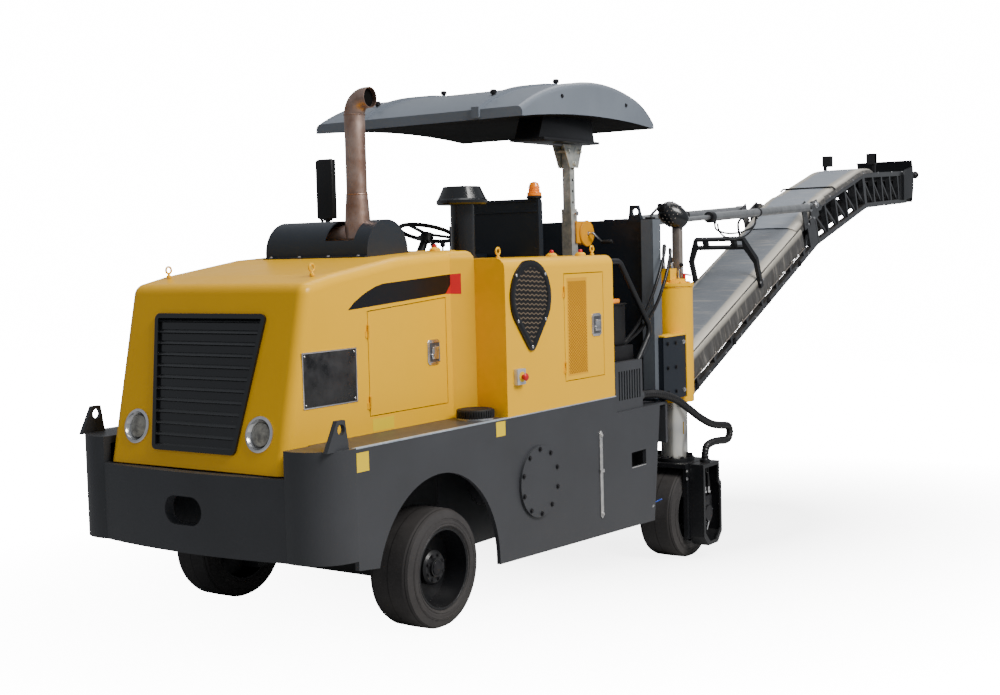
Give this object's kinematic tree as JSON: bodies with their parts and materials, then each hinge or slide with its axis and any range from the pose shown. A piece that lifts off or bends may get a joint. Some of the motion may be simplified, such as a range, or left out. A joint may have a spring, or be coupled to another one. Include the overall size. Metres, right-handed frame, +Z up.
{
  "type": "cold planer milling machine on four wheels",
  "caption": "Compact wheeled cold planer with a milling drum between the axles, an open operator stand under a canopy and a folding rear discharge conveyor",
  "frame": {"origin": "on the ground, under the centre of the bounding box of the parked machine", "axes": "+X forwards to the radiator end, +Y to the machine's left, +Z up; the body stands 3.7 degrees nose down on its rear lifting columns"},
  "size_m": [10.9171, 2.08, 3.5741],
  "materials": {
    "amber_lens": "amber lens",
    "belt_rubber": "ribbed belt rubber",
    "black_paint": "satin black paint",
    "black_plastic": "black plastic",
    "canopy_shell": "moulded blue grey shell",
    "cover_cloth": "coated grey cloth",
    "engine_iron": "cast engine",
    "galvanised": "galvanised steel",
    "grey_paint": "satin charcoal paint",
    "guard_paint": "blue grey paint",
    "lamp_glass": "clear lamp lens",
    "plain_steel": "worn steel",
    "seat_vinyl": "black vinyl",
    "stack_steel": "heat tinted steel",
    "tyre_rubber": "worn solid tyre",
    "yellow_paint": "glossy machine yellow paint"
  },
  "bodies": {
    "machine": {"chassis_frame": "grey_paint", "side_plate_left": "grey_paint", "side_plate_right": "grey_paint", "front_counterweight": "grey_paint", "drum_housing": "grey_paint", "front_axle": "black_paint", "engine_block": "engine_iron", "engine_hood": "yellow_paint", "radiator_grille": "black_paint", "headlamps": "lamp_glass", "muffler_guard": "guard_paint", "exhaust_stack": "stack_steel", "side_cabinet": "yellow_paint", "cabinet_vent": "black_paint", "fuel_cap": "black_paint", "air_precleaner": "guard_paint", "operator_platform": "grey_paint", "operator_seat": "seat_vinyl", "control_console": "black_paint", "steering_wheel": "black_plastic", "side_mirror": "black_plastic", "beacon_lamp": "amber_lens", "canopy_sleeve": "galvanised", "rear_wall": "black_paint", "lift_tubes": "yellow_paint", "floodlight": "black_plastic", "louvre_box": "grey_paint", "handrails": "black_paint", "service_hose": "black_plastic"},
    "hood_door": {"hood_door": "yellow_paint"},
    "cabinet_door": {"cabinet_door": "yellow_paint"},
    "canopy": {"canopy_post": "galvanised", "canopy_roof": "canopy_shell"},
    "drum": {"milling_drum": "plain_steel"},
    "slew": {"slew_yoke": "black_paint", "hoist_mast": "black_paint"},
    "conveyor_lower": {"conveyor_frame_lower": "black_paint", "conveyor_belt_lower": "belt_rubber", "conveyor_cover_lower": "cover_cloth", "cover_hoop": "black_paint"},
    "conveyor_upper": {"conveyor_frame_upper": "black_paint", "conveyor_belt_upper": "belt_rubber", "conveyor_cover_upper": "cover_cloth", "head_bumper": "black_paint", "work_lamps": "black_plastic"},
    "hoist_barrel_pair": {"hoist_barrels": "plain_steel"},
    "hoist_rod_pair": {"hoist_rods": "plain_steel"},
    "leg_left": {"lift_leg_left": "black_paint"},
    "leg_right": {"lift_leg_right": "black_paint"},
    "steer_left": {"knuckle_left": "black_paint"},
    "steer_right": {"knuckle_right": "black_paint"},
    "wheel_front_left": {"tyre_front_left": "tyre_rubber", "rim_front_left": "black_paint"},
    "wheel_front_right": {"tyre_front_right": "tyre_rubber", "rim_front_right": "black_paint"},
    "wheel_rear_left": {"tyre_rear_left": "tyre_rubber", "rim_rear_left": "black_paint"},
    "wheel_rear_right": {"tyre_rear_right": "tyre_rubber", "rim_rear_right": "black_paint"}
  },
  "joints": [
    {"name": "steer_left", "type": "hinge", "parent": "machine", "child": "steer_left", "pos_m": [4.36048, 0.545, 0.33], "axis": [0.0645, 0, 0.9979], "range_deg": [-30, 30]},
    {"name": "steer_right", "type": "hinge", "parent": "machine", "child": "steer_right", "pos_m": [4.36048, -0.545, 0.33], "axis": [0.0645, 0, 0.9979], "range_deg": [-30, 30]},
    {"name": "wheel_front_left_spin", "type": "hinge", "parent": "steer_left", "child": "wheel_front_left", "pos_m": [4.36048, 0.744, 0.33], "axis": [0, 1, 0], "continuous": true},
    {"name": "wheel_front_right_spin", "type": "hinge", "parent": "steer_right", "child": "wheel_front_right", "pos_m": [4.36048, -0.744, 0.33], "axis": [0, 1, 0], "continuous": true},
    {"name": "lift_left", "type": "slide", "parent": "machine", "child": "leg_left", "axis": [0.0645, 0, 0.9979], "range_m": [-0.06, 0.26], "deforming": ["service_hose"]},
    {"name": "lift_right", "type": "slide", "parent": "machine", "child": "leg_right", "axis": [0.0645, 0, 0.9979], "range_m": [-0.06, 0.26]},
    {"name": "wheel_rear_left_spin", "type": "hinge", "parent": "leg_left", "child": "wheel_rear_left", "pos_m": [1.35421, 0.744, 0.33], "axis": [0, 1, 0], "continuous": true},
    {"name": "wheel_rear_right_spin", "type": "hinge", "parent": "leg_right", "child": "wheel_rear_right", "pos_m": [1.35421, -0.744, 0.33], "axis": [0, 1, 0], "continuous": true},
    {"name": "drum_spin", "type": "hinge", "parent": "machine", "child": "drum", "pos_m": [3.52012, 0, 0.73908], "axis": [0, 1, 0], "continuous": true},
    {"name": "hood_door_hinge", "type": "hinge", "parent": "machine", "child": "hood_door", "pos_m": [4.73312, 0.649, 1.42824], "axis": [-0.0645, 0, -0.9979], "range_deg": [0, 110]},
    {"name": "cabinet_door_hinge", "type": "hinge", "parent": "machine", "child": "cabinet_door", "pos_m": [3.25233, 0.954, 1.63423], "axis": [-0.0645, 0, -0.9979], "range_deg": [0, 110]},
    {"name": "canopy_lift", "type": "slide", "parent": "machine", "child": "canopy", "axis": [0.0645, 0, 0.9979], "range_m": [-0.25, 0]},
    {"name": "conveyor_slew", "type": "hinge", "parent": "machine", "child": "slew", "pos_m": [1.64947, 0, 1.17671], "axis": [0.0645, 0, 0.9979], "range_deg": [-25, 25]},
    {"name": "conveyor_raise", "type": "hinge", "parent": "slew", "child": "conveyor_lower", "pos_m": [1.36772, 0, 0.69389], "axis": [0, 1, 0], "range_deg": [-10, 10]},
    {"name": "conveyor_fold", "type": "hinge", "parent": "conveyor_lower", "child": "conveyor_upper", "pos_m": [-2.3585, 0, 2.85063], "axis": [0, 1, 0], "range_deg": [0, 175]},
    {"name": "hoist_barrel_pivot", "type": "hinge", "parent": "conveyor_lower", "child": "hoist_barrel_pair", "pos_m": [-2.0795, 0, 2.80281], "axis": [0, 1, 0], "range_deg": [-1, 1]},
    {"name": "hoist_stroke", "type": "slide", "parent": "hoist_barrel_pair", "child": "hoist_rod_pair", "axis": [0.9936, 0, -0.1132], "range_m": [-0.4, 0.4]}
  ],
  "couplings": [
    {"joint": "steer_right", "follows": "steer_left", "ratio": 1},
    {"joint": "hoist_barrel_pivot", "follows": "conveyor_raise", "ratio": -0.016},
    {"joint": "hoist_stroke", "follows": "conveyor_raise", "m_per_rad": -1.7}
  ]
}
